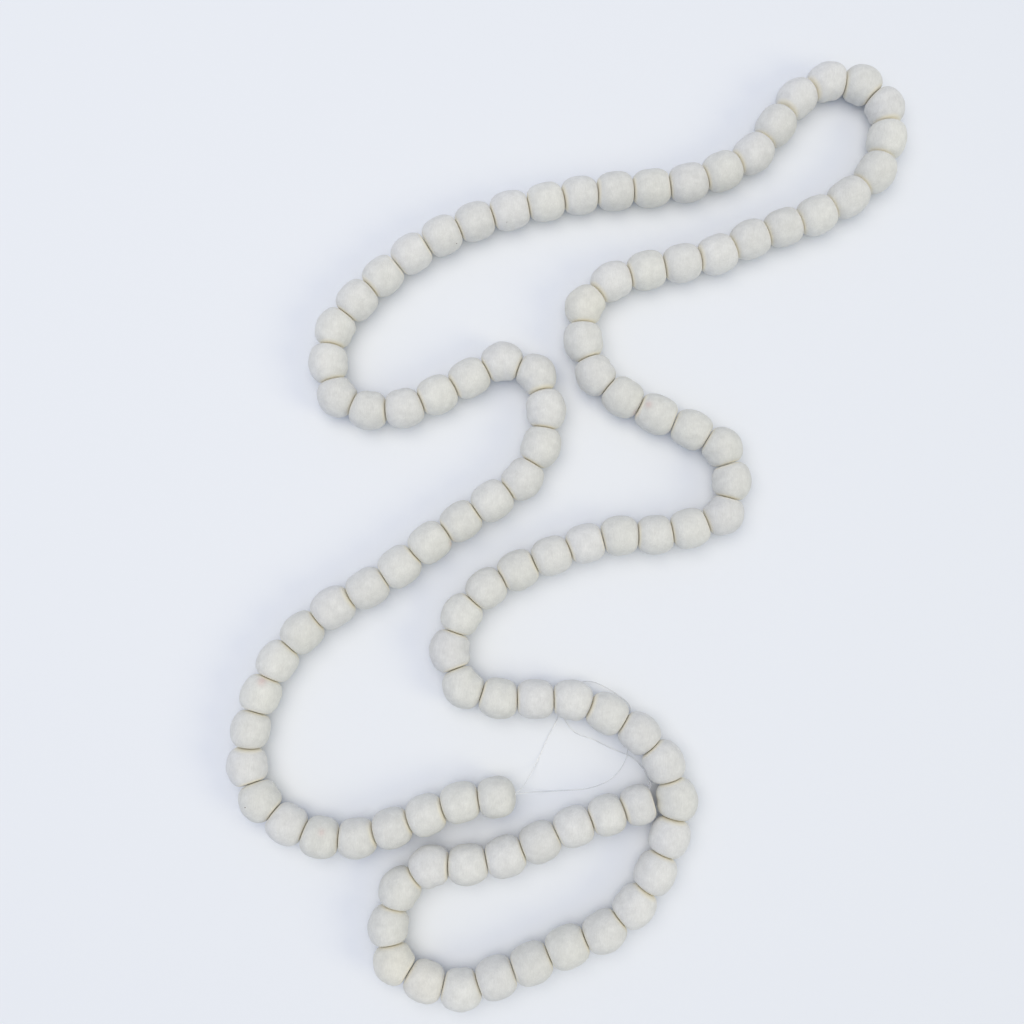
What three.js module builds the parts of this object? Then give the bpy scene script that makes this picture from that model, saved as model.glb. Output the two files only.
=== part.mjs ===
// A garland of felted wool balls, threaded close together on one clear thread. It lies in loose
// bends on a level surface, and at each end the thread comes out as a free loop.
// Millimetres, +Z up. The origin is on the surface, under the middle of the balls' outline.

import * as THREE from "three";
import { mergeVertices } from "three/addons/utils/BufferGeometryUtils.js";

// The balls
const BALL_COUNT = 104;
const BALL_DIAMETER = 25;
const SIZE_SPREAD = 0.02; // a ball differs from the nominal size by up to this share
const BALLS_PER_PIECE = 2; // neighbours that are pressed into one piece
const PIECE_GAP = 0.3; // between the pressed faces of two pieces

// The form of one ball, along its own axis and around it
const STATIONS = [-1, -0.8, -0.32, 0.32, 0.8, 1]; // from one end face to the other
const BARREL_POWER = 2.6; // 2 is a round ball, and more is a squarer one
const PRESSED_FACE = 0.52; // radius of the face between two balls, as a share of the ball's
const FREE_FACE = 0.4; // the same for an end ball's free face, which is rounder
const BEND_SHRINK = 0.15; // in a bend the face shrinks by this share for each radian
const BEND_SHIFT = 0.2; // and moves inwards by this share of the ball's radius for each radian
const LEAN_POWER = 2; // a ball's middle stays straight, and only its ends lean with the string
const SIDES = 12; // one of them faces straight down, and the ball rests on it
const SIDE_REACH = 1 / Math.sqrt(Math.cos(Math.PI / SIDES)); // sides straddle the true round

// From an end ball's middle to its free face. The last ball is pushed against another one.
const FIRST_END_LENGTH = 12;
const LAST_END_LENGTH = 9.3;

// The stringing thread
const THREAD_DIAMETER = 0.5;
const THREAD_SIDES = 8;
const START_LOOP_STEPS = 44;
const END_LOOP_STEPS = 34;

// The view from above in which the places below were read: its middle column and row and its
// focal length in pixels, its height over the surface, and its tilt from straight down
const VIEW_MIDDLE = 512;
const VIEW_FOCAL = 1109;
const VIEW_HEIGHT = 715;
const VIEW_TILT = THREE.MathUtils.degToRad(6);

// The string's route: the number of a ball, and the column and row of its middle. The balls
// between two rows are spaced evenly on the curve through them all.
const ROUTE = [
  // ball, column, row
  [1, 497, 797],
  [2, 460, 802],
  [3, 426, 815],
  [5, 357, 839],
  [6, 320, 838],
  [7, 287, 825],
  [8, 259, 801],
  [9, 246, 766],
  [10, 250, 729],
  [11, 260, 695],
  [12, 277, 661],
  [13, 301, 633],
  [14, 333, 607],
  [15, 368, 588],
  [16, 399, 567],
  [17, 430, 542],
  [19, 492, 501],
  [20, 523, 480],
  [21, 542, 446],
  [22, 547, 410],
  [23, 537, 373],
  [24, 503, 360],
  [25, 469, 378],
  [27, 404, 409],
  [28, 368, 411],
  [29, 337, 398],
  [30, 327, 363],
  [31, 334, 328],
  [32, 357, 300],
  [34, 412, 253],
  [36, 475, 221],
  [39, 579, 195],
  [40, 615, 191],
  [41, 651, 188],
  [42, 689, 183],
  [44, 754, 154],
  [46, 796, 98],
  [47, 828, 80],
  [48, 862, 84],
  [49, 886, 107],
  [51, 877, 172],
  [53, 816, 216],
  [54, 784, 227],
  [55, 751, 239],
  [56, 717, 255],
  [58, 647, 270],
  [59, 612, 280],
  [60, 583, 306],
  [62, 595, 376],
  [64, 656, 414],
  [66, 723, 447],
  [67, 733, 481],
  [68, 725, 515],
  [69, 689, 529],
  [70, 655, 535],
  [71, 620, 535],
  [72, 586, 543],
  [74, 518, 570],
  [75, 486, 588],
  [76, 461, 614],
  [77, 448, 650],
  [78, 463, 689],
  [79, 499, 699],
  [80, 535, 699],
  [81, 572, 699],
  [83, 640, 733],
  [84, 664, 761],
  [85, 678.4, 800],
  [86, 670, 837],
  [87, 656, 872],
  [88, 635, 907],
  [89, 605, 932],
  [90, 567, 947],
  [91, 531, 964],
  [92, 496, 978],
  [93, 461, 991],
  [95, 393, 963],
  [96, 387, 927],
  [97, 399, 888],
  [98, 430, 865],
  [99, 467, 865],
  [100, 506, 857],
  [102, 575, 826],
  [104, 639.5, 804.7],
];

// The thread's loop at the first ball: out along the surface, under the string, round the
// outside of a bend, back under the string and home. Column, row and height of its middle.
const START_LOOP = [
  [517.2, 794.2, 12.2],
  [522, 793.4, 11.4],
  [529, 792.4, 8.4],
  [538, 791.8, 4],
  [547, 791.3, 1.4],
  [557, 790.7, 0.5],
  [569, 790, 0.3],
  [581, 789.2, 0.3],
  [592, 787.2, 0.3],
  [602, 783.6, 0.3],
  [611, 778.4, 0.3],
  [618.4, 771.6, 0.3],
  [623.6, 763.6, 0.3],
  [626.8, 754.8, 0.3],
  [627.4, 746.6, 0.3],
  [625, 738.6, 0.3],
  [623.2, 730.6, 0.3],
  [624, 722.6, 0.3],
  [627.6, 715.6, 0.3],
  [630.4, 708.8, 0.3],
  [627.6, 702.6, 0.3],
  [620.8, 697, 0.3],
  [612.2, 691, 0.3],
  [603, 685.8, 0.3],
  [593.4, 682, 0.3],
  [583.6, 681.4, 0.3],
  [574, 683.2, 0.3],
  [565.4, 686.6, 0.3],
  [558.8, 692, 0.3],
  [556, 699.4, 0.3],
  [556.2, 707.4, 0.3],
  [558.2, 715, 0.3],
  [554.4, 724.6, 0.3],
  [549.4, 734, 0.3],
  [544.6, 744, 0.3],
  [540, 755, 0.6],
  [534.4, 767, 2],
  [527.4, 779.4, 6],
  [521.4, 788.4, 10.8],
  [517, 792, 12.6],
];

// The thread's loop at the last ball: across to the string, and back under its inner edge.
const END_LOOP = [
  [649.2, 786.6, 12.2],
  [647.9, 783.2, 9.8],
  [646.8, 778.6, 6.2],
  [645.4, 773.2, 3],
  [642, 767.8, 1.5],
  [637, 762, 1.15],
  [631.8, 757.6, 1.15],
  [626.4, 754.6, 1.15],
  [620.4, 752, 1.1],
  [612.4, 749, 0.6],
  [603.6, 744.8, 0.35],
  [594.8, 740.4, 0.3],
  [586, 737, 0.3],
  [577.6, 734, 0.3],
  [571, 729, 0.3],
  [566, 722, 0.3],
  [562.6, 715.4, 0.3],
  [564.6, 710.4, 0.3],
  [571.6, 711.6, 0.3],
  [579.6, 714.6, 0.3],
  [587.4, 718.4, 0.3],
  [595.8, 722, 0.3],
  [604.4, 725.4, 0.35],
  [612.4, 729.8, 0.6],
  [619.4, 735, 1.1],
  [625.6, 740.2, 1.15],
  [631.8, 745, 1.1],
  [638.4, 750.6, 0.7],
  [643.6, 756.4, 0.5],
  [647.6, 763, 0.5],
  [649.2, 770, 0.8],
  [649, 776, 2.6],
  [649.4, 781.4, 6.6],
  [650.8, 787, 11.2],
];

// The point at a given height that shows at a column and row of the view
function seenAt(column, row, height) {
  const across = (column - VIEW_MIDDLE) / VIEW_FOCAL;
  const down = (row - VIEW_MIDDLE) / VIEW_FOCAL;
  const depth = (VIEW_HEIGHT - height) / (Math.cos(VIEW_TILT) + down * Math.sin(VIEW_TILT));
  const forward = depth * (Math.sin(VIEW_TILT) - down * Math.cos(VIEW_TILT));
  return new THREE.Vector3(depth * across, forward, height);
}

function ballRadius(ball) {
  const wobble = 0.6 * Math.sin(2.4 * ball) + 0.4 * Math.sin(0.9 * ball + 1);
  return (BALL_DIAMETER / 2) * (1 + SIZE_SPREAD * wobble);
}

// A ball's radius at a station, as a share of its largest, for a given end face
function barrel(station, face) {
  const fall = 1 - face ** BARREL_POWER;
  return (1 - fall * Math.abs(station) ** BARREL_POWER) ** (1 / BARREL_POWER);
}

// The middle of a ball is as high as its lowest side is deep, so that it rests on z = 0
function restingHeight(ball) {
  const widest = Math.min(...STATIONS.map(Math.abs));
  return ballRadius(ball) * barrel(widest, PRESSED_FACE) * SIDE_REACH * Math.cos(Math.PI / SIDES);
}

function ballMiddles() {
  const rows = ROUTE.map(([, column, row]) => seenAt(column, row, BALL_DIAMETER / 2));
  const curve = new THREE.CatmullRomCurve3(rows, false, "centripetal");
  const middles = [];
  for (let row = 1; row < ROUTE.length; row++) {
    const first = ROUTE[row - 1][0];
    const count = ROUTE[row][0] - first;
    for (let ball = 0; ball < count; ball++) {
      middles.push(curve.getPoint((row - 1 + ball / count) / (ROUTE.length - 1)));
    }
  }
  middles.push(rows.at(-1));
  middles.forEach((middle, index) => middle.setZ(restingHeight(index + 1)));
  return middles;
}

function flatDirection(from, to) {
  return new THREE.Vector3(to.x - from.x, to.y - from.y, 0).normalize();
}

// The angle from one level direction to another, positive to the left
function turn(from, to) {
  return Math.atan2(from.x * to.y - from.y * to.x, from.dot(to));
}

function leftOf(direction) {
  return new THREE.Vector3(-direction.y, direction.x, 0);
}

// The faces between the balls, one more than there are balls. Each lies square to the line
// between two middles. In a bend it is smaller, and moved to the inside, where they press.
function endFaces(middles) {
  const directions = middles.slice(1).map((middle, index) => flatDirection(middles[index], middle));
  const turns = middles.map((_, index) => {
    const before = directions[Math.max(index - 1, 0)];
    const after = directions[Math.min(index, directions.length - 1)];
    return turn(before, after);
  });
  const faces = directions.map((direction, index) => {
    const bend = (turns[index] + turns[index + 1]) / 2;
    const radius = (ballRadius(index + 1) + ballRadius(index + 2)) / 2;
    const halfway = middles[index].clone().lerp(middles[index + 1], 0.5);
    return {
      middle: halfway.addScaledVector(leftOf(direction), BEND_SHIFT * radius * bend),
      direction,
      radius: PRESSED_FACE * radius * (1 - BEND_SHRINK * Math.abs(bend)),
      share: PRESSED_FACE,
    };
  });
  const first = directions[0];
  const last = directions.at(-1);
  faces.unshift({
    middle: middles[0].clone().addScaledVector(first, -FIRST_END_LENGTH),
    direction: first,
    radius: FREE_FACE * ballRadius(1),
    share: FREE_FACE,
  });
  faces.push({
    middle: middles.at(-1).clone().addScaledVector(last, LAST_END_LENGTH),
    direction: last,
    radius: FREE_FACE * ballRadius(BALL_COUNT),
    share: FREE_FACE,
  });
  return faces;
}

// A ball's rings from one end face to the other, each with its middle, direction and radius
function ballRings(ball, middles, faces) {
  const middle = middles[ball - 1];
  const axis = faces[ball - 1].direction.clone().add(faces[ball].direction).normalize();
  return STATIONS.map((station) => {
    const face = station < 0 ? faces[ball - 1] : faces[ball];
    const part = Math.abs(station);
    if (part === 1) {
      return face;
    }
    const aside = face.middle.clone().sub(middle);
    const along = axis.clone().multiplyScalar(aside.dot(axis));
    aside.sub(along).multiplyScalar(part ** LEAN_POWER);
    return {
      middle: middle.clone().addScaledVector(along, part).add(aside).setZ(middle.z),
      direction: axis.clone().lerp(face.direction, part ** LEAN_POWER).normalize(),
      radius: ballRadius(ball) * barrel(station, face.share),
    };
  });
}

// Moves the outer rings of a piece apart from its neighbours' by half the gap
function partedRing(ring, side) {
  const middle = ring.middle.clone().addScaledVector(ring.direction, (side * PIECE_GAP) / 2);
  return { ...ring, middle };
}

// One closed solid through a row of rings. A turned shape has the rings' radii, and each of its
// circles is then carried to its ring.
function ringedSolid(rings) {
  const outline = [new THREE.Vector2(0, 0)];
  rings.forEach((ring, index) => outline.push(new THREE.Vector2(ring.radius * SIDE_REACH, index)));
  outline.push(new THREE.Vector2(0, rings.length - 1));
  const turned = new THREE.LatheGeometry(outline, SIDES, Math.PI / SIDES);
  turned.deleteAttribute("normal");
  turned.deleteAttribute("uv");
  const places = turned.attributes.position;
  const point = new THREE.Vector3();
  for (let index = 0; index < places.count; index++) {
    point.fromBufferAttribute(places, index);
    const ring = rings[Math.round(point.y)];
    const sideways = leftOf(ring.direction).multiplyScalar(-point.x);
    sideways.add(ring.middle);
    places.setXYZ(index, sideways.x, sideways.y, sideways.z + point.z);
  }
  return mergeVertices(turned);
}

function feltMaterial() {
  return new THREE.MeshStandardMaterial({ color: 0xdedcd3, roughness: 0.95, metalness: 0 });
}

function threadMaterial() {
  return new THREE.MeshStandardMaterial({ color: 0xe9eaea, roughness: 0.15, metalness: 0 });
}

function namedMesh(name, geometry, material) {
  const mesh = new THREE.Mesh(geometry, material);
  mesh.name = name;
  return mesh;
}

function ballPieces() {
  const middles = ballMiddles();
  const faces = endFaces(middles);
  const pieces = [];
  for (let first = 1; first <= BALL_COUNT; first += BALLS_PER_PIECE) {
    const rings = ballRings(first, middles, faces);
    for (let ball = first + 1; ball < first + BALLS_PER_PIECE; ball++) {
      rings.push(...ballRings(ball, middles, faces).slice(1));
    }
    rings[0] = partedRing(rings[0], 1);
    rings[rings.length - 1] = partedRing(rings.at(-1), -1);
    const number = String(pieces.length + 1).padStart(2, "0");
    pieces.push(namedMesh(`ball_pair_${number}`, ringedSolid(rings), feltMaterial()));
  }
  return pieces;
}

function threadLoop(name, route, steps) {
  const path = new THREE.CatmullRomCurve3(route.map((place) => seenAt(...place)), false, "centripetal");
  const corner = new THREE.Vector2(THREAD_DIAMETER / 2, 0);
  const centre = new THREE.Vector2();
  const section = new THREE.Shape();
  section.setFromPoints(
    Array.from({ length: THREAD_SIDES }, (_, side) =>
      corner.clone().rotateAround(centre, (side * 2 * Math.PI) / THREAD_SIDES)
    )
  );
  const tube = new THREE.ExtrudeGeometry(section, { steps, bevelEnabled: false, extrudePath: path });
  return namedMesh(name, tube, threadMaterial());
}

const garland = new THREE.Group();
const balls = ballPieces();
garland.add(...balls);
garland.add(threadLoop("thread_loop_start", START_LOOP, START_LOOP_STEPS));
garland.add(threadLoop("thread_loop_end", END_LOOP, END_LOOP_STEPS));

// The origin under the middle of the balls
const outline = new THREE.Box3();
balls.forEach((ball) => outline.expandByObject(ball));
const middle = outline.getCenter(new THREE.Vector3());
garland.position.set(-middle.x, -middle.y, 0);

export default garland;
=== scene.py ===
import math
import random

import bmesh
import bpy
from mathutils import Matrix, Vector, noise


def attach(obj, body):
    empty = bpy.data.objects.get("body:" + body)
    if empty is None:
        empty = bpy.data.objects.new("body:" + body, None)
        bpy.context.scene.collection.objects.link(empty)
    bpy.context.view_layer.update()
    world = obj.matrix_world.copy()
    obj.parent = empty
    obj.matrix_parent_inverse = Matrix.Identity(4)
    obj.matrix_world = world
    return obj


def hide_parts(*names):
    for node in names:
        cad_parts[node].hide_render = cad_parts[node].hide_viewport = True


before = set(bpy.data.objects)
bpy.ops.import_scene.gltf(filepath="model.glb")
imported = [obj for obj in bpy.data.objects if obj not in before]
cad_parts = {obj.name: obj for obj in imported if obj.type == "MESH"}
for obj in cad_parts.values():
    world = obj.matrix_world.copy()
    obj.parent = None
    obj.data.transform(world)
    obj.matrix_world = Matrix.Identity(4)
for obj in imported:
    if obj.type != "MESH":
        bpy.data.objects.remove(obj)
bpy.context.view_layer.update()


# The view. The garland is laid out on a table and looked down on from above its near half,
# with the camera leaning a little towards the far end. Places on the string are given in it
# by column, row and height in millimetres.
IMAGE_MIDDLE = 512
FOCAL_PIXELS = 1109
SENSOR_WIDTH = 36
CAMERA_PLACE = Vector((-0.041345, -0.071407, 0.715))
CAMERA_LEAN = math.radians(6)
MILLIMETRE = 0.001

camera_data = bpy.data.cameras.new("view_from_above")
camera_data.sensor_width = SENSOR_WIDTH
camera_data.lens = SENSOR_WIDTH * FOCAL_PIXELS / (2 * IMAGE_MIDDLE)
camera_data.clip_start = 0.01
camera_data.clip_end = 20
camera = bpy.data.objects.new("view_from_above", camera_data)
camera.location = CAMERA_PLACE
camera.rotation_euler = (CAMERA_LEAN, 0, 0)
bpy.context.scene.collection.objects.link(camera)
bpy.context.scene.camera = camera
bpy.context.scene.view_settings.view_transform = "Standard"


def seen_at(column, row, height):
    across = (column - IMAGE_MIDDLE) / FOCAL_PIXELS
    down = (row - IMAGE_MIDDLE) / FOCAL_PIXELS
    level = height * MILLIMETRE
    depth = (CAMERA_PLACE.z - level) / (math.cos(CAMERA_LEAN) + down * math.sin(CAMERA_LEAN))
    forward = depth * (math.sin(CAMERA_LEAN) - down * math.cos(CAMERA_LEAN))
    return Vector((CAMERA_PLACE.x + depth * across, CAMERA_PLACE.y + forward, level))


# The stringing thread. One clear nylon filament runs through the middle of every ball, and at
# each end of the string it comes out as a free loop that lies on the table and goes back in.
# Column, row and height of the middle of the thread, from one end of a loop to the other.
THREAD_DIAMETER = 0.0005
START_LOOP = [
    (517.2, 794.2, 12.2),
    (522, 793.4, 11.4),
    (529, 792.4, 8.4),
    (538, 791.8, 4),
    (547, 791.3, 1.4),
    (557, 790.7, 0.5),
    (569, 790, 0.3),
    (581, 789.2, 0.3),
    (592, 787.2, 0.3),
    (602, 783.6, 0.3),
    (611, 778.4, 0.3),
    (618.4, 771.6, 0.3),
    (623.6, 763.6, 0.3),
    (626.8, 754.8, 0.3),
    (627.4, 746.6, 0.3),
    (625, 738.6, 0.3),
    (623.2, 730.6, 0.3),
    (624, 722.6, 0.3),
    (627.6, 715.6, 0.3),
    (630.4, 708.8, 0.3),
    (627.6, 702.6, 0.3),
    (620.8, 697, 0.3),
    (612.2, 691, 0.3),
    (603, 685.8, 0.3),
    (593.4, 682, 0.3),
    (583.6, 681.4, 0.3),
    (574, 683.2, 0.3),
    (565.4, 686.6, 0.3),
    (558.8, 692, 0.3),
    (556, 699.4, 0.3),
    (556.2, 707.4, 0.3),
    (558.2, 715, 0.3),
    (554.4, 724.6, 0.3),
    (549.4, 734, 0.3),
    (544.6, 744, 0.3),
    (540, 755, 0.6),
    (534.4, 767, 2),
    (527.4, 779.4, 6),
    (521.4, 788.4, 10.8),
    (517, 792, 12.6),
]
END_LOOP = [
    (649.2, 786.6, 12.2),
    (647.9, 783.2, 9.8),
    (646.8, 778.6, 6.2),
    (645.4, 773.2, 3),
    (642, 767.8, 1.5),
    (637, 762, 1.15),
    (631.8, 757.6, 1.15),
    (626.4, 754.6, 1.15),
    (620.4, 752, 1.1),
    (612.4, 749, 0.6),
    (603.6, 744.8, 0.35),
    (594.8, 740.4, 0.3),
    (586, 737, 0.3),
    (577.6, 734, 0.3),
    (571, 729, 0.3),
    (566, 722, 0.3),
    (562.6, 715.4, 0.3),
    (564.6, 710.4, 0.3),
    (571.6, 711.6, 0.3),
    (579.6, 714.6, 0.3),
    (587.4, 718.4, 0.3),
    (595.8, 722, 0.3),
    (604.4, 725.4, 0.35),
    (612.4, 729.8, 0.6),
    (619.4, 735, 1.1),
    (625.6, 740.2, 1.15),
    (631.8, 745, 1.1),
    (638.4, 750.6, 0.7),
    (643.6, 756.4, 0.5),
    (647.6, 763, 0.5),
    (649.2, 770, 0.8),
    (649, 776, 2.6),
    (649.4, 781.4, 6.6),
    (650.8, 787, 11.2),
]
# Where the ends of each loop are, inside the ball that they come out of
START_BALL_ENTRY = (511.5, 794.6, 12.3)
END_BALL_ENTRY = (647.2, 791.5, 12.3)


def new_material(name):
    material = bpy.data.materials.new(name)
    material.use_nodes = True
    tree = material.node_tree
    shader = tree.nodes["Principled BSDF"]
    return material, tree, shader


def add_node(tree, kind, inputs=None, **settings):
    made = tree.nodes.new(kind)
    for name, value in settings.items():
        setattr(made, name, value)
    for name, value in (inputs or {}).items():
        if isinstance(value, bpy.types.NodeSocket):
            tree.links.new(value, made.inputs[name])
        else:
            made.inputs[name].default_value = value
    return made


# Spreads the values of a pattern that lie between two limits over another two
def ranged(tree, pattern, limits, spread):
    values = {
        "Value": pattern,
        "From Min": limits[0],
        "From Max": limits[1],
        "To Min": spread[0],
        "To Max": spread[1],
    }
    return add_node(tree, "ShaderNodeMapRange", values).outputs["Result"]


def clear_nylon():
    material, tree, shader = new_material("clear_nylon")
    places = add_node(tree, "ShaderNodeTexCoord").outputs["Object"]
    scuffs = add_node(tree, "ShaderNodeTexNoise", {"Vector": places, "Scale": 260, "Detail": 4})
    gloss = ranged(tree, scuffs.outputs["Fac"], (0.35, 0.7), (0.05, 0.16))
    tree.links.new(gloss, shader.inputs["Roughness"])
    # The line is painted white in some stretches, painted highlights standing in for its glints,
    # and greyer in others
    glint_stretches = add_node(tree, "ShaderNodeTexNoise", {"Vector": places, "Scale": 90, "Detail": 1})
    glint_share = ranged(tree, glint_stretches.outputs["Fac"], (0.42, 0.58), (0, 1))
    tint = add_node(tree, "ShaderNodeMix", {"Factor": glint_share}, data_type="RGBA")
    tint.inputs[6].default_value = (0.80, 0.83, 0.88, 1)
    tint.inputs[7].default_value = (0.97, 0.985, 1, 1)
    tree.links.new(tint.outputs[2], shader.inputs["Base Color"])
    shader.inputs["IOR"].default_value = 1.53
    shader.inputs["Transmission Weight"].default_value = 0.15
    shader.inputs["Specular IOR Level"].default_value = 0.8
    shader.inputs["Coat Weight"].default_value = 1
    shader.inputs["Coat Roughness"].default_value = 0.04
    return material


nylon = clear_nylon()


def thread_loop(name, route, entry, node):
    curve = bpy.data.curves.new(name, "CURVE")
    curve.dimensions = "3D"
    curve.bevel_depth = THREAD_DIAMETER / 2
    curve.bevel_resolution = 2
    curve.resolution_u = 8
    curve.use_fill_caps = True
    line = curve.splines.new("BEZIER")
    rows = [entry, *route, entry]
    line.bezier_points.add(len(rows) - 1)
    for point, row in zip(line.bezier_points, rows):
        point.co = seen_at(*row)
        point.handle_left_type = "AUTO"
        point.handle_right_type = "AUTO"
    piece = bpy.data.objects.new(name, curve)
    bpy.context.scene.collection.objects.link(piece)
    curve.materials.append(nylon)
    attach(piece, "root")
    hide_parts(node)


thread_loop(
    "clear_thread_start", START_LOOP, START_BALL_ENTRY, "thread_loop_start"
)
thread_loop("clear_thread_end", END_LOOP, END_BALL_ENTRY, "thread_loop_end")


# The balls. Each is a round ball of wet-felted off-white wool, threaded so tight that it is
# pressed flat against its neighbours, like a marshmallow. In a bend the pressed faces are
# smaller and lie to the inside. Every ball rests on a small flat spot.
BALL_COUNT = 104
PAIR_COUNT = 52
BALL_FACETS = 5  # rounds of splitting of the icosphere that a ball is shaped from
RESTING_SHARE = 0.9666  # height of a ball's middle over the table, as a share of its radius
SPOT_HEIGHT = 0.0001  # corners of a solid below this height belong to a flat spot
TOP_REACH = 0.007  # how far round a ball's middle its top is looked for
PRESSED_FACE = 0.54  # radius of a pressed face, as a share of the ball's
FREE_FACE = 0.3  # and of the face at the free end
PRESSED_FORM = 2.6  # how square a ball's side is, where 2 is round, towards a pressed face
FREE_FORM = 2.2  # and towards a free one
FIRST_END_LENGTH = 0.012  # from the first ball's middle to its free end
LAST_END_LENGTH = 0.0093  # from the last ball's middle to its pressed end
PRESSED_RIM = 23  # how sharply a pressed face meets the side
FREE_RIM = 9  # and a free one
BARREL_MEETING = 0.35  # where the two barrels of a ball in a bend run into each other
FACE_GAP = 0.0001  # between the pressed faces of two neighbours
CREASE_REACH = 0.0009  # how far from a pressed face the wool glows warm with light thrown back
DENT_FREE = 0.004  # how far from a pressed face the dents begin
DENTS = [
    # size of the dents, and their depth
    (0.0085, 0.00030),
    (0.0034, 0.00012),
    (0.0015, 0.00007),
]
DENT_SHIFT = Vector((17.3, 5.1, 9.7))  # moves the dents on from ball to ball
UP = Vector((0, 0, 1))


def flat_direction(start, end):
    return Vector((end.x - start.x, end.y - start.y, 0)).normalized()


def left_of(direction):
    return Vector((-direction.y, direction.x, 0))


def pair_name(pair):
    return f"ball_pair_{pair:02d}"


# The two balls of a piece are found by their flat spots, the one nearer to the ball before first
def balls_of_piece(pair, before):
    corners = [vertex.co.copy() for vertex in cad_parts[pair_name(pair)].data.vertices]
    spots = [corner for corner in corners if corner.z < SPOT_HEIGHT]
    start = min(spots, key=lambda corner: (corner - before).length)
    end = max(spots, key=lambda corner: (corner - start).length)
    found = []
    for near, far in ((start, end), (end, start)):
        spot = [corner for corner in spots if (corner - near).length < (corner - far).length]
        x = (min(corner.x for corner in spot) + max(corner.x for corner in spot)) / 2
        y = (min(corner.y for corner in spot) + max(corner.y for corner in spot)) / 2
        over = [
            corner.z for corner in corners if math.hypot(corner.x - x, corner.y - y) < TOP_REACH
        ]
        middle = Vector((x, y, max(over) / 2))
        found.append({"middle": middle, "radius": middle.z / RESTING_SHARE})
    return found


balls = []
before = seen_at(*START_LOOP[0])
for pair in range(1, PAIR_COUNT + 1):
    balls += balls_of_piece(pair, before)
    before = balls[-1]["middle"]


# The faces between the balls, one more than there are balls. Each leans a little up or down and
# to a side, as one ball's round end pushes into the next.
FACE_LEAN = 0.17
FACE_SWING = 0.06
face_choice = random.Random(31)


def face_at(middle, direction, share, form, rim):
    lean = face_choice.uniform(-FACE_LEAN, FACE_LEAN)
    swing = face_choice.uniform(-FACE_SWING, FACE_SWING)
    square = (direction + UP * lean + left_of(direction) * swing).normalized()
    return {
        "middle": middle,
        "direction": direction,
        "square": square,
        "share": share,
        "form": form,
        "rim": rim,
    }


directions = [flat_direction(a["middle"], b["middle"]) for a, b in zip(balls, balls[1:])]
free_end = balls[0]["middle"] - directions[0] * FIRST_END_LENGTH
pressed_end = balls[-1]["middle"] + directions[-1] * LAST_END_LENGTH
faces = [face_at(free_end, directions[0], FREE_FACE, FREE_FORM, FREE_RIM)]
for one, other, direction in zip(balls, balls[1:], directions):
    between = (one["middle"] + other["middle"]) / 2
    faces.append(face_at(between, direction, PRESSED_FACE, PRESSED_FORM, PRESSED_RIM))
faces.append(face_at(pressed_end, directions[-1], PRESSED_FACE, PRESSED_FORM, PRESSED_RIM))


def dent_depth(place, offset):
    return sum(depth * noise.noise(place / size + offset) for size, depth in DENTS)


# Wisps of red wool felted into a few balls: column and row of the wisp, its reach and strength
RED_WISPS = [
    (262, 681, 0.0026, 0.34),
    (322, 832, 0.0020, 0.22),
    (452, 543, 0.0016, 0.40),
    (637, 412, 0.0016, 0.40),
    (648, 405, 0.0022, 0.30),
]
WISP_COLOUR = Vector((0.80, 0.42, 0.38))
WISP_HEIGHT = 22  # over the table, in millimetres, near the top of a ball
WISP_LOWEST = 0.012  # no wisp shows below a ball's middle
WISP_EDGE = 3  # how many times its reach a wisp fades out in
wisps = [
    (seen_at(column, row, WISP_HEIGHT), reach, share) for column, row, reach, share in RED_WISPS
]


def with_wisps(wool_tone, place):
    for middle, reach, share in wisps:
        aside = math.hypot(place.x - middle.x, place.y - middle.y) / reach
        if aside < WISP_EDGE and place.z > WISP_LOWEST:
            wool_tone = wool_tone.lerp(WISP_COLOUR, share * math.exp(-aside * aside))
    return wool_tone


def smooth_step(value):
    value = min(1, max(0, value))
    return value * value * (3 - 2 * value)


# Carries the points of a round ball to the pressed one. Towards a neighbour the ball is a barrel
# about the line to that neighbour, cut by the face between them. Away from both it is round.
def press_ball(points, number, crease, tone, wool_tone):
    ball = balls[number]
    middle, radius = ball["middle"], ball["radius"]
    ends = []
    for face, outward in ((faces[number], -1), (faces[number + 1], 1)):
        along = face["direction"] * outward
        square = face["square"] * outward
        out = face["middle"] - middle
        length = out.dot(along) / radius
        reach = (out.dot(square) - FACE_GAP / 2) / radius
        ends.append((face, along, length, square, reach))
    offset = DENT_SHIFT * number
    for point in points:
        ray = point.co.copy()
        side = 1
        nearness = 0
        rim = FREE_RIM
        for (face, along, length, _, _), (_, other_along, _, _, _) in zip(ends, reversed(ends)):
            towards = ray.dot(along)
            if towards <= 0:
                continue
            form = face["form"]
            fall = 1 - face["share"] ** form
            aside = math.sqrt(max(0, 1 - towards * towards))
            barrel = (aside**form + fall * (towards / length) ** form) ** (-1 / form)
            side += (barrel - 1) * (1 - smooth_step(ray.dot(other_along) / BARREL_MEETING))
            rim = max(rim, face["rim"])
        for _, _, _, square, reach in ends:
            nearness += max(0, ray.dot(square) / reach) ** rim
        stretch = (side**-rim + nearness) ** (-1 / rim)
        to_face = min(
            (reach - stretch * ray.dot(square)) * radius
            for face, _, _, square, reach in ends
            if face["form"] == PRESSED_FORM
        )
        place = middle + ray * radius * stretch
        place += ray * dent_depth(place, offset) * smooth_step(to_face / DENT_FREE)
        place.z = max(place.z, 0)
        point.co = place
        # The crease weight also sets how strongly the painted warm glow near a pressed face shows
        point[crease] = math.exp(-((max(to_face, 0) / CREASE_REACH) ** 2))
        point[tone] = with_wisps(wool_tone, place)


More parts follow.
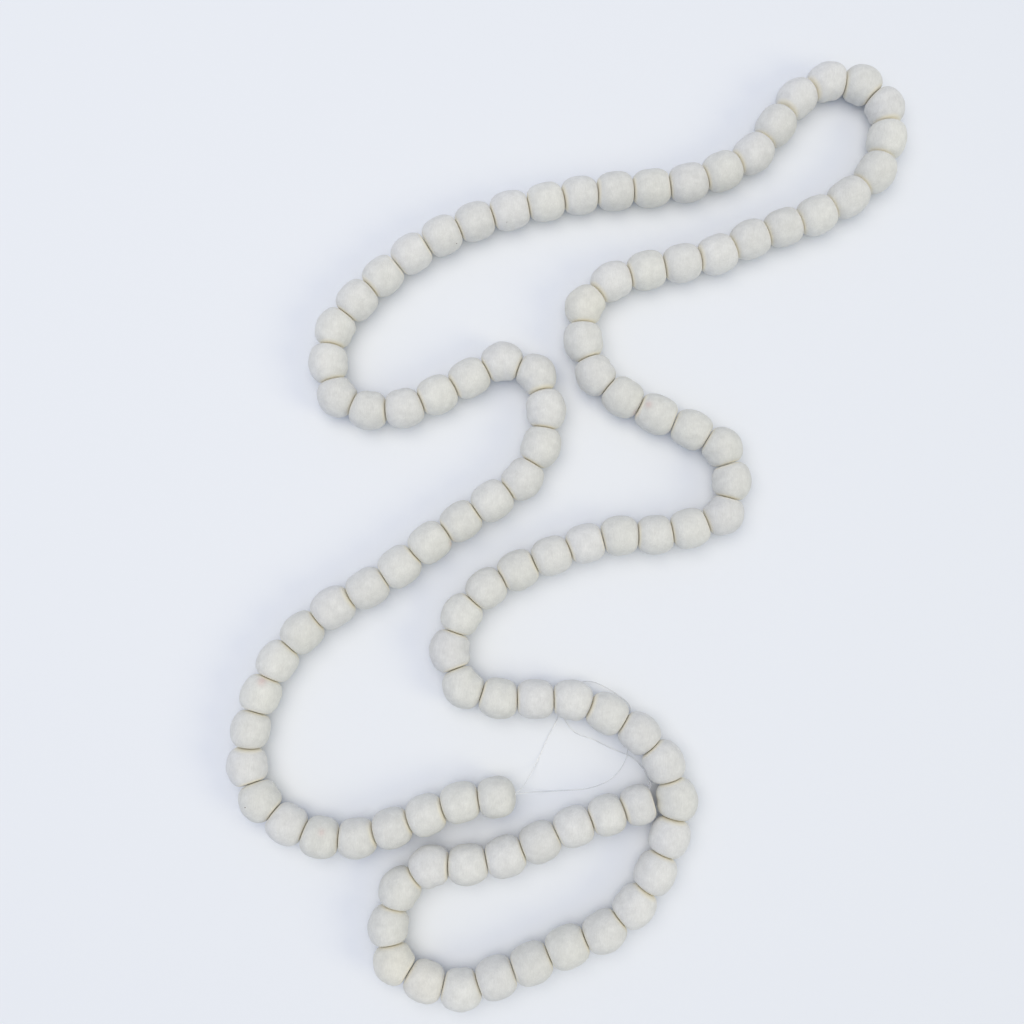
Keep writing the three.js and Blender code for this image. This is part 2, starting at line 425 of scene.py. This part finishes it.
def wool_felt():
    material, tree, shader = new_material("wool_felt")
    places = add_node(tree, "ShaderNodeTexCoord").outputs["Object"]
    blotches = add_node(
        tree,
        "ShaderNodeTexNoise",
        {"Vector": places, "Scale": 190, "Detail": 4, "Roughness": 0.6},
    )
    strands = []
    for tilt in ((0, 0, 0.5), (0.9, 0.4, 2.2), (1.9, 0.2, 1.2)):
        laid = add_node(
            tree,
            "ShaderNodeMapping",
            {"Vector": places, "Rotation": tilt, "Scale": (1, 0.16, 1)},
        ).outputs["Vector"]
        strand = add_node(
            tree,
            "ShaderNodeTexNoise",
            {"Vector": laid, "Scale": 1500, "Detail": 5, "Roughness": 0.65, "Distortion": 0.6},
        )
        strands.append(strand.outputs["Fac"])
    upper = add_node(tree, "ShaderNodeMath", operation="MAXIMUM")
    tree.links.new(strands[0], upper.inputs[0])
    tree.links.new(strands[1], upper.inputs[1])
    fleece = add_node(tree, "ShaderNodeMath", operation="MAXIMUM")
    tree.links.new(upper.outputs[0], fleece.inputs[0])
    tree.links.new(strands[2], fleece.inputs[1])

    tone = add_node(tree, "ShaderNodeAttribute", attribute_name="wool_tone").outputs["Color"]
    shade = ranged(tree, blotches.outputs["Fac"], (0.3, 0.72), (0.9, 1.03))
    strand_shade = ranged(tree, fleece.outputs[0], (0.48, 0.74), (0.90, 1.02))
    shades = add_node(tree, "ShaderNodeMath", operation="MULTIPLY")
    tree.links.new(shade, shades.inputs[0])
    tree.links.new(strand_shade, shades.inputs[1])
    mottled = add_node(tree, "ShaderNodeVectorMath", {0: tone}, operation="SCALE")
    tree.links.new(shades.outputs[0], mottled.inputs["Scale"])
    # Near a pressed face the wool is painted lighter and warmer, a painted glow standing in for
    # light thrown back between the balls
    crease = add_node(tree, "ShaderNodeAttribute", attribute_name="crease").outputs["Fac"]
    colour = add_node(tree, "ShaderNodeMix", data_type="RGBA")
    tree.links.new(crease, colour.inputs["Factor"])
    tree.links.new(mottled.outputs["Vector"], colour.inputs[6])
    colour.inputs[7].default_value = (0.88, 0.845, 0.735, 1)
    tree.links.new(colour.outputs[2], shader.inputs["Base Color"])

    relief = add_node(
        tree,
        "ShaderNodeBump",
        {"Strength": 0.45, "Distance": 0.0004, "Height": fleece.outputs[0]},
    )
    tree.links.new(relief.outputs["Normal"], shader.inputs["Normal"])
    shader.inputs["Roughness"].default_value = 0.95
    shader.inputs["Specular IOR Level"].default_value = 0.2
    shader.inputs["Sheen Weight"].default_value = 0.12
    shader.inputs["Sheen Roughness"].default_value = 0.5
    return material


felt = wool_felt()
IVORY = Vector((0.79, 0.793, 0.768))
LIGHTNESS_SPREAD = (-0.035, 0.03)  # how much darker or lighter than ivory a ball may be
WARMTH_SPREAD = (-0.02, 0.02)  # and how much warmer or cooler
CREAM_BALLS = {
    # number of the ball from the first end, and its tint
    60: (1.0, 0.99, 0.94),
    94: (1.01, 0.995, 0.95),
    95: (1.01, 0.995, 0.95),
}
wool_choice = random.Random(7)
felt_meshes = []
for pair in range(1, PAIR_COUNT + 1):
    shape = bmesh.new()
    crease = shape.verts.layers.float.new("crease")
    tone = shape.verts.layers.float_vector.new("wool_tone")
    for number in (2 * pair - 2, 2 * pair - 1):
        light = 1 + wool_choice.uniform(*LIGHTNESS_SPREAD)
        warmth = wool_choice.uniform(*WARMTH_SPREAD)
        red, green, blue = CREAM_BALLS.get(number + 1, (1, 1, 1))
        wool_tone = Vector(
            (IVORY.x * light * red, IVORY.y * light * green, IVORY.z * (light + warmth) * blue)
        )
        ball = bmesh.ops.create_icosphere(shape, subdivisions=BALL_FACETS, radius=1)
        press_ball(ball["verts"], number, crease, tone, wool_tone)
    bmesh.ops.recalc_face_normals(shape, faces=shape.faces)
    mesh = bpy.data.meshes.new(f"felt_balls_{pair:02d}")
    shape.to_mesh(mesh)
    shape.free()
    mesh.shade_smooth()
    mesh.materials.append(felt)
    felt_meshes.append(mesh)
    piece = bpy.data.objects.new(f"felt_balls_{pair:02d}", mesh)
    bpy.context.scene.collection.objects.link(piece)
    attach(piece, "root")
    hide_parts(pair_name(pair))


# The fuzz. Single wool fibres stand off the felt all over each ball, short, bent and tapered.
# They soften its outline, and are rooted in the surface of the ball.
FIBRES_PER_BALL = 320
FIBRE_LENGTH = (0.0005, 0.0017)
FIBRE_WIDTH = 0.00007
FIBRE_LEAN = (0.3, 1.1)  # how far a fibre lies over, from nearly upright to nearly flat
FIBRE_BEND = 0.5  # how far up a fibre bends, as a share of its length
LOWER_RISE, LOWER_LEAN = 0.75, 0.35  # how steeply it stands up below the bend
UPPER_RISE, UPPER_LEAN = 0.35, 0.8  # and how far it lies over above it
BARE_RIM = 0.8  # how deep in a crease no fibre stands any more, where 1 is the pressed face
BALLS_PER_FUZZ = 8
fibre_choice = random.Random(19)


# A colour that wanders between two shades in small blotches
def blotched_material(name, blotch_scale, darker, lighter, roughness):
    material, tree, shader = new_material(name)
    places = add_node(tree, "ShaderNodeTexCoord").outputs["Object"]
    pattern = {"Vector": places, "Scale": blotch_scale, "Detail": 3}
    blotches = add_node(tree, "ShaderNodeTexNoise", pattern).outputs["Fac"]
    shade = add_node(tree, "ShaderNodeMix", {"Factor": blotches}, data_type="RGBA")
    shade.inputs[6].default_value = darker
    shade.inputs[7].default_value = lighter
    tree.links.new(shade.outputs[2], shader.inputs["Base Color"])
    shader.inputs["Roughness"].default_value = roughness
    shader.inputs["Specular IOR Level"].default_value = 0.2
    return material


loose_fibre = blotched_material(
    "loose_fibre", 300, (0.70, 0.70, 0.67, 1), (0.88, 0.88, 0.85, 1), 0.9
)


# One straight fibre, of length and width 1: a three-sided spike with a ring where it will bend
fibre_shape = bmesh.new()
upright_half = Matrix.Translation((0, 0, 0.5))
bmesh.ops.create_cone(
    fibre_shape, cap_ends=True, segments=3, radius1=0.5, radius2=0, depth=1, matrix=upright_half
)
whole_fibre = [*fibre_shape.verts, *fibre_shape.edges, *fibre_shape.faces]
bmesh.ops.bisect_plane(
    fibre_shape, geom=whole_fibre, plane_co=(0, 0, FIBRE_BEND), plane_no=(0, 0, 1)
)
bmesh.ops.remove_doubles(fibre_shape, verts=fibre_shape.verts, dist=0.01)
fibre_shape.verts.index_update()
fibre_points = [corner.co.copy() for corner in fibre_shape.verts]
fibre_faces = [[corner.index for corner in face.verts] for face in fibre_shape.faces]
fibre_shape.free()


# Sets a copy of the fibre on the felt: its lower half stands up, and its upper half lies over
def add_fibre(corners, sides, root, upright, lean, length):
    lower = (upright * LOWER_RISE + lean * LOWER_LEAN) * length
    upper = (upright * UPPER_RISE + lean * UPPER_LEAN) * length
    if root.z + (lower.z + min(0, upper.z)) * FIBRE_BEND < FIBRE_WIDTH:
        return
    across = lean.cross(upright).normalized()
    along = upright.cross(across)
    first = len(corners)
    for point in fibre_points:
        low = min(point.z, FIBRE_BEND)
        centre = root - upright * FIBRE_WIDTH + lower * low + upper * (point.z - low)
        corners.append(centre + (across * point.x + along * point.y) * FIBRE_WIDTH)
    sides.extend([first + corner for corner in face] for face in fibre_faces)


# Roots fibres at random points of one ball, which are the mesh's points from first to end
def ball_fuzz(corners, sides, felt_mesh, first_point, end_point):
    for _ in range(FIBRES_PER_BALL):
        vertex = felt_mesh.vertices[fibre_choice.randrange(first_point, end_point)]
        length = fibre_choice.uniform(*FIBRE_LENGTH)
        swing = fibre_choice.uniform(0, math.tau)
        if felt_mesh.attributes["crease"].data[vertex.index].value > BARE_RIM:
            continue
        upright = vertex.normal.copy()
        aside = upright.orthogonal().normalized()
        lean = aside * math.cos(swing) + upright.cross(aside) * math.sin(swing)
        lean *= fibre_choice.uniform(*FIBRE_LEAN)
        add_fibre(corners, sides, vertex.co.copy(), upright, lean, length)


POINTS_PER_BALL = len(felt_meshes[0].vertices) // 2
for first in range(0, BALL_COUNT, BALLS_PER_FUZZ):
    corners, sides = [], []
    for number in range(first, first + BALLS_PER_FUZZ):
        start = (number % 2) * POINTS_PER_BALL
        ball_fuzz(corners, sides, felt_meshes[number // 2], start, start + POINTS_PER_BALL)
    name = f"wool_fuzz_{first // BALLS_PER_FUZZ + 1:02d}"
    mesh = bpy.data.meshes.new(name)
    mesh.from_pydata(corners, [], sides)
    mesh.shade_smooth()
    mesh.materials.append(loose_fibre)
    piece = bpy.data.objects.new(name, mesh)
    bpy.context.scene.collection.objects.link(piece)
    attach(piece, "root")


# The specks. Three tiny dark bits of seed husk are caught in the felt, as left in the wool.
# Column and row of each, and its size.
HUSKS = [
    (456, 243, 0.0004),
    (507, 222, 0.0003),
    (245, 807, 0.0004),
]
HUSK_FORM = (1.3, 0.8, 0.6)  # longer than wide, and flat
HUSK_HEIGHT = 20  # over the table, in millimetres, about where a husk lies


# The point of the felt that is seen at a column and row
def felt_seen_at(column, row):
    about = seen_at(column, row, HUSK_HEIGHT).xy
    number = min(range(BALL_COUNT), key=lambda n: (balls[n]["middle"].xy - about).length)
    upper = [v.co for v in felt_meshes[number // 2].vertices if v.co.z > balls[number]["middle"].z]
    return min(upper, key=lambda point: (seen_at(column, row, point.z / MILLIMETRE) - point).length)


husk_shape = bmesh.new()
for column, row, size in HUSKS:
    place = felt_seen_at(column, row)
    grain = bmesh.ops.create_icosphere(husk_shape, subdivisions=1, radius=size)
    bmesh.ops.scale(husk_shape, verts=grain["verts"], vec=HUSK_FORM)
    bmesh.ops.translate(husk_shape, verts=grain["verts"], vec=place)
husk_mesh = bpy.data.meshes.new("seed_husks")
husk_shape.to_mesh(husk_mesh)
husk_shape.free()
husk_mesh.materials.append(
    blotched_material("seed_husk", 2500, (0.07, 0.05, 0.04, 1), (0.20, 0.15, 0.11, 1), 0.8)
)
husks = bpy.data.objects.new("seed_husks", husk_mesh)
bpy.context.scene.collection.objects.link(husks)
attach(husks, "root")


# The table and the light. The garland lies on a plain pale table top under a wide soft
# studio light, with a cool fill from all round.
TABLE_SIDE = 6
table_shape = bmesh.new()
bmesh.ops.create_grid(table_shape, x_segments=1, y_segments=1, size=TABLE_SIDE / 2)
table_mesh = bpy.data.meshes.new("table_top")
table_shape.to_mesh(table_mesh)
table_shape.free()
table = bpy.data.objects.new("table_top", table_mesh)
bpy.context.scene.collection.objects.link(table)
paint, _, paint_shader = new_material("pale_paint")
paint_shader.inputs["Base Color"].default_value = (0.80, 0.83, 0.885, 1)
paint_shader.inputs["Roughness"].default_value = 0.7
table_mesh.materials.append(paint)

world = bpy.data.worlds.new("soft_room")
world.use_nodes = True
fill_light = world.node_tree.nodes["Background"]
fill_light.inputs["Color"].default_value = (0.735, 0.817, 1, 1)
fill_light.inputs["Strength"].default_value = 0.615
bpy.context.scene.world = world


def soft_light(name, place, size, power, colour):
    data = bpy.data.lights.new(name, "AREA")
    data.shape = "DISK"
    data.size = size
    data.energy = power
    data.color = colour
    light = bpy.data.objects.new(name, data)
    light.location = place
    light.rotation_euler = (-Vector(place)).to_track_quat("-Z", "Y").to_euler()
    bpy.context.scene.collection.objects.link(light)


soft_light("ceiling_light", (-0.5, 0.3, 2.6), 3.0, 41, (1, 0.915, 0.77))
soft_light("window_light", (4.6, -1.8, 3.2), 2.8, 76, (1, 0.885, 0.5))
